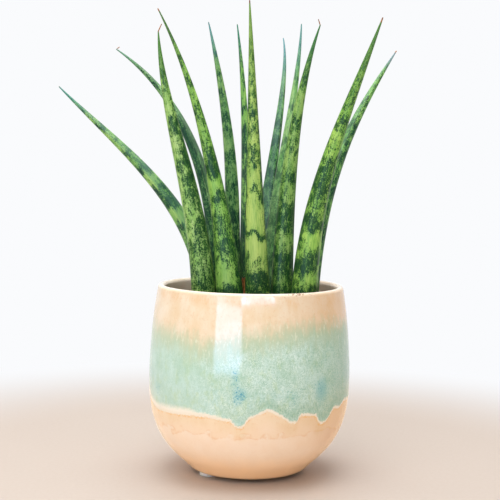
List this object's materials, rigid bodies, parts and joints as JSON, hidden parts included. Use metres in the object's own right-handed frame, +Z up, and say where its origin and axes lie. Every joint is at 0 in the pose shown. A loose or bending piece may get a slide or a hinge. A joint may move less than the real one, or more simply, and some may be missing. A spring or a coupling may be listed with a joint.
{
  "type": "potted snake plant",
  "caption": "Potted succulent: slim, nearly round, banded green leaves rise from potting soil in a small round-bottomed glazed pot on stick-on feet.",
  "frame": {"origin": "centre of the pot's flat underside, 2.5 mm above the surface that its three foot pads stand on", "axes": "+Z up along the pot's axis; +Y away from the side that the picture shows; +X to the right in the picture"},
  "size_m": [0.226, 0.1304, 0.2948],
  "materials": {
    "glaze": "gloss",
    "pad": "matte",
    "soil": "matte",
    "rhizome": "matte",
    "leaf_front": "satin",
    "leaf_back": "satin",
    "dry_leaf": "matte"
  },
  "bodies": {
    "root": {"pot": "glaze", "foot_pad_1": "pad", "foot_pad_2": "pad", "foot_pad_3": "pad", "soil": "soil", "rhizome": "rhizome", "leaf_01": "leaf_back", "leaf_02": "leaf_back", "leaf_03": "leaf_front", "leaf_04": "leaf_front", "leaf_05": "leaf_back", "leaf_06": "leaf_back", "leaf_07": "leaf_front", "leaf_08": "leaf_back", "leaf_09": "leaf_back", "leaf_10": "leaf_front", "leaf_11": "leaf_front", "leaf_12": "leaf_back", "dry_scale_leaf": "dry_leaf"}
  },
  "joints": []
}
